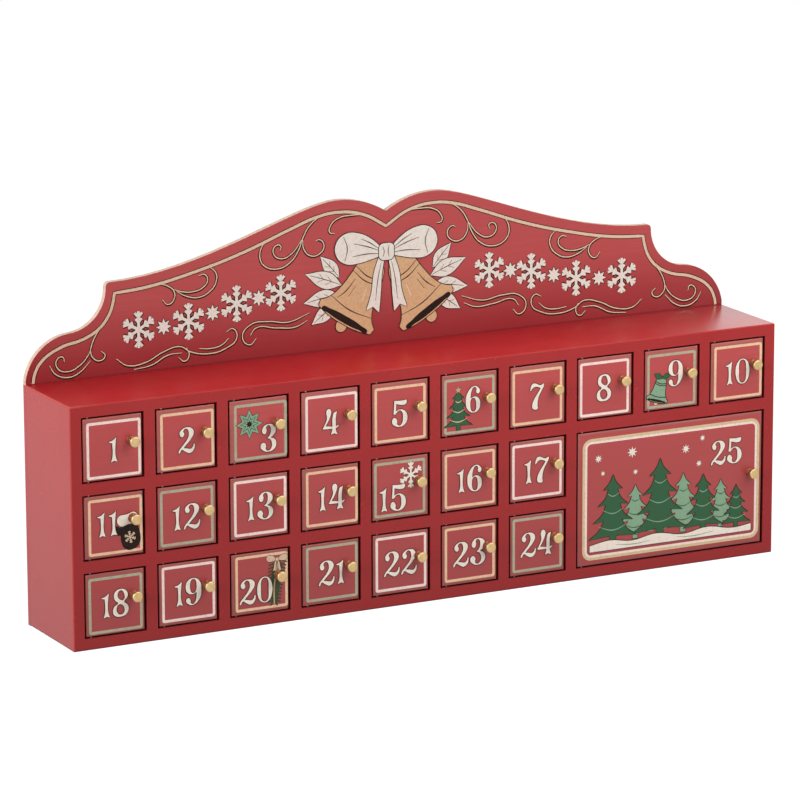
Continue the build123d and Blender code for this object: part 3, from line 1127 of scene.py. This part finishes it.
pictures = {
    3: star_picture,
    6: fir_picture,
    9: bell_picture,
    11: mitten_picture,
    15: crystal_picture,
    20: sprig_picture,
}
border_line = border(*border_reach, border_width, border_round, border_inner_round)
for colour, numbers in border_inks.items():
    for number in numbers:
        x, z = opening_middle(number)
        rise = next(rise for row, rise in print_up.items() if number in row)
        spot = (door_boxes[number][0].y, x + print_right.get(number, 0) * mm, z + rise * mm)
        parts = [fill(spot, border_line, 0, colour, fineness=1)]
        if number in pictures:
            parts += pictures[number](spot)
        parts += numeral(spot, number, *numeral_off.get(number, numeral_middle), numeral_layer)
        fit(join(parts, f"door_print_{number:02d}"), f"leaf_{number:02d}", "door_paint")

# Large door print. A khaki band with a white line inside it, the number in the upper right corner,
# and a row of fir trees in two greens on snowy ground, with stars over them.
band_inset = (4.2, 3.9, 1.95, 5.1)
band_width = 2.3
band_round = 7.5
white_width = 1.8
number_place = (128.6, 72.5)
band_ink = ink("khaki_ink", srgb(219, 197, 154), srgb(210, 180, 139))
# In mm from the band's lower left corner: place and height of each tree, place and size of each star
near_trees = [(27, 55), (69, 63), (108, 46), (138, 34)]
near_foot = 11
far_trees = [(47, 43), (90, 47), (124, 38)]
far_foot = 13
sky = [
    (14, 80, 3.4), (44, 82, 4.6), (92, 79, 3.8), (107, 86, 2.6), (47, 66, 2.4), (104, 66, 2.8),
    (18, 68, 2.2),
]
ground = [
    (6.5, 6.5, 1), (151.8, 6.5, 1), (151.8, 12, 1), (135, 10.5), (112, 14), (90, 11), (66, 14.5),
    (44, 11.5), (24, 14), (6.5, 11.5, 1),
]
ground_drifts = [[(30, 10), (46, 8.6), (60, 9.6)], [(84, 9.4), (100, 8.4), (118, 10)]]
drift_half_width = 0.4
large_low, large_high = door_boxes[25]
left, foot, right, top = band_inset
spot = (large_low.y, large_low.x + left * mm, large_low.z + foot * mm)
band_right = (large_high.x - large_low.x) / mm - left - right
band_top = (large_high.z - large_low.z) / mm - foot - top
inner_round = band_round - band_width
band = border(0, 0, band_right, band_top, band_width, band_round, inner_round)
white_line = border(
    band_width, band_width, band_right - band_width, band_top - band_width,
    white_width, inner_round, inner_round - white_width,
)
sky_stars = [star(x, z, 8, size, size * 0.45) for x, z, size in sky]
parts = [
    fill(spot, band, 0, band_ink, fineness=1),
    fill(spot, white_line, 0, border_white_ink, fineness=1),
]
for x, height in far_trees:
    parts += fir(spot, x, far_foot, height, 0, pale_green_ink, green_ink)
for x, height in near_trees:
    parts += fir(spot, x, near_foot, height, 3, green_ink, pale_green_ink)
parts += edged(spot, sky_stars, 0, number_ink, edge=0.3)
parts += edged(spot, [ground], 6, number_ink)
parts.append(line(spot, ground_drifts, drift_half_width, 8, pale_green_ink, taper=0.4))
parts += numeral(spot, 25, *number_place, layer=6)
fit(join(parts, "door_print_25"), "leaf_25", "door_paint")

# Knobs. Small turned brass knobs with a collar, a waist and a flat-faced head, lacquered.
# A shank behind the collar is pressed into a hole in the door. The waist and collar are darker and
# redder: a painted reflection of the red door, and painted shade under the head.
knob_profile = [
    (0, 4, 1), (1, 4, 1), (1, 0, 1), (3.6, 0, 1), (3.65, -0.5), (3.2, -0.95), (2.3, -1.4),
    (1.95, -2.6), (2.1, -4), (2.9, -5), (3.8, -5.5), (4, -6.1), (4, -7.1), (3.75, -7.7),
    (3.2, -7.95), (2.4, -8, 1), (0, -8, 1),
]
red_reflection_reach = 4.8 * mm


def turned_brass(name, colour, dull_colour):
    """Lacquered brass, a little tarnished, with the fine marks of the lathe."""
    material, shader, place = start_material(name)
    tarnish = noise(material, place, scale=260.0, detail=5.0)
    scratches = noise(material, place, scale=2400.0, detail=3.0)
    feed(material, shader, {
        "Base Color": blend(material, tarnish, (0.30, dull_colour), (0.65, colour)),
        "Metallic": 1.0,
        "Roughness": between(material, tarnish, 0.36, 0.5),
        "Normal": bump(material, scratches, strength=0.06, depth=0.02 * mm),
    })
    return material


bright_brass = turned_brass("bright_brass", srgb(201, 176, 128), srgb(188, 157, 108))
# The waist and collar brass is darker and redder: a painted reflection of the red door.
red_reflection_brass = turned_brass("brass_with_painted_red_reflection", srgb(124, 74, 54), srgb(104, 58, 46))
draw([knob_profile], closed=False, fineness=4)
bpy.ops.object.convert(target="MESH")
knob = bpy.context.object
bpy.ops.object.mode_set(mode="EDIT")
bpy.ops.mesh.select_all(action="SELECT")
bpy.ops.mesh.spin(steps=32, angle=2 * pi, center=(0, 0, 0), axis=(0, 1, 0))
bpy.ops.object.mode_set(mode="OBJECT")
weld(touch)
bpy.ops.object.shade_smooth_by_angle(angle=radians(40))
for finish in (bright_brass, red_reflection_brass):
    knob.data.materials.append(finish)
paint_faces(knob, red_reflection_brass, lambda face: face.center.y > -red_reflection_reach)
for number in door_boxes:
    brass_knob = copy_of(knob, f"brass_knob_{number:02d}", knob_seat(number))
    fit(brass_knob, f"leaf_{number:02d}", "knob_brass", f"knob_{number:02d}")
bpy.data.objects.remove(knob)

# Floor. A plain white sheet under the box and behind it, which keeps a soft shadow.
# It looks white to the eye, but throws little light back onto the box.
floor_whiteness = 0.92
make_active()
bpy.ops.mesh.primitive_plane_add(size=30, location=(0, 0, 0))
floor = bpy.context.object
floor.name = "studio_floor"
sheet, shader, place = start_material("white_studio_sheet")
feed(sheet, shader, {"Base Color": srgb(124, 124, 124), "Roughness": 0.9, "Specular IOR Level": 0.0})


def seen(material):
    """The share of rays that look at a surface: from the eye, from gloss or through glass."""
    rays = material.node_tree.nodes.new("ShaderNodeLightPath").outputs
    share = rays["Is Camera Ray"]
    for ray in ("Is Glossy Ray", "Is Transmission Ray"):
        share = node(material, "ShaderNodeMath", {0: share, 1: rays[ray]}).outputs["Value"]
    return share


whitened = between(sheet, seen(sheet), 0.0, floor_whiteness)
feed(sheet, shader, {"Emission Color": (1, 1, 1, 1), "Emission Strength": whitened})
floor.data.materials.append(sheet)

# Studio light. A white room that is dim to the object and white to the eye and to gloss,
# a soft box close above the front, one on the left, and a weak one on the right.
room_light = 0.33
world = bpy.data.worlds.new("white_room")
bpy.context.scene.world = world
world.use_nodes = True
dim = world.node_tree.nodes["Background"]
feed(world, dim, {"Color": (1, 1, 1, 1), "Strength": room_light})
bright = node(world, "ShaderNodeBackground", {"Color": (1, 1, 1, 1), "Strength": 1.0})
mixed = node(world, "ShaderNodeMixShader", {0: seen(world), 1: dim.outputs[0], 2: bright.outputs[0]})
feed(world, world.node_tree.nodes["World Output"], {"Surface": mixed.outputs["Shader"]})
for name, place, aim, size, power in (
    ("top_soft_box", (0.34, -0.56, 0.8), (0.05, 0, 0.17), 0.9, 7.1),
    ("left_soft_box", (-2.1, -0.4, 0.9), (-0.2, 0, 0.12), 1.4, 49.0),
    ("right_soft_box", (1.5, -2.2, 1.4), (0.1, 0, 0.14), 1.6, 10.5),
):
    bpy.ops.object.light_add(type="AREA", location=place)
    lamp = bpy.context.object
    lamp.name = name
    lamp.data.size = size
    lamp.data.energy = power
    lamp.rotation_euler = (Vector(aim) - lamp.location).to_track_quat("-Z", "Y").to_euler()

# Camera. A long lens from the front left, a little above the box, where the photo was taken from.
# It is turned by a fraction of a degree about its own axis.
eye = Vector((-1.64267, -3.15323, 0.9905))
centre = Vector((0.00912, 0.0328, 0.1399))
camera_roll = radians(-0.18)
bpy.ops.object.camera_add(location=eye)
camera = bpy.context.object
camera.data.sensor_width = 36.0
camera.data.lens = 216.18
camera.rotation_euler = (centre - eye).to_track_quat("-Z", "Y").to_euler()
camera.rotation_euler.rotate_axis("Z", camera_roll)
bpy.context.scene.camera = camera
bpy.context.scene.view_settings.view_transform = "Standard"
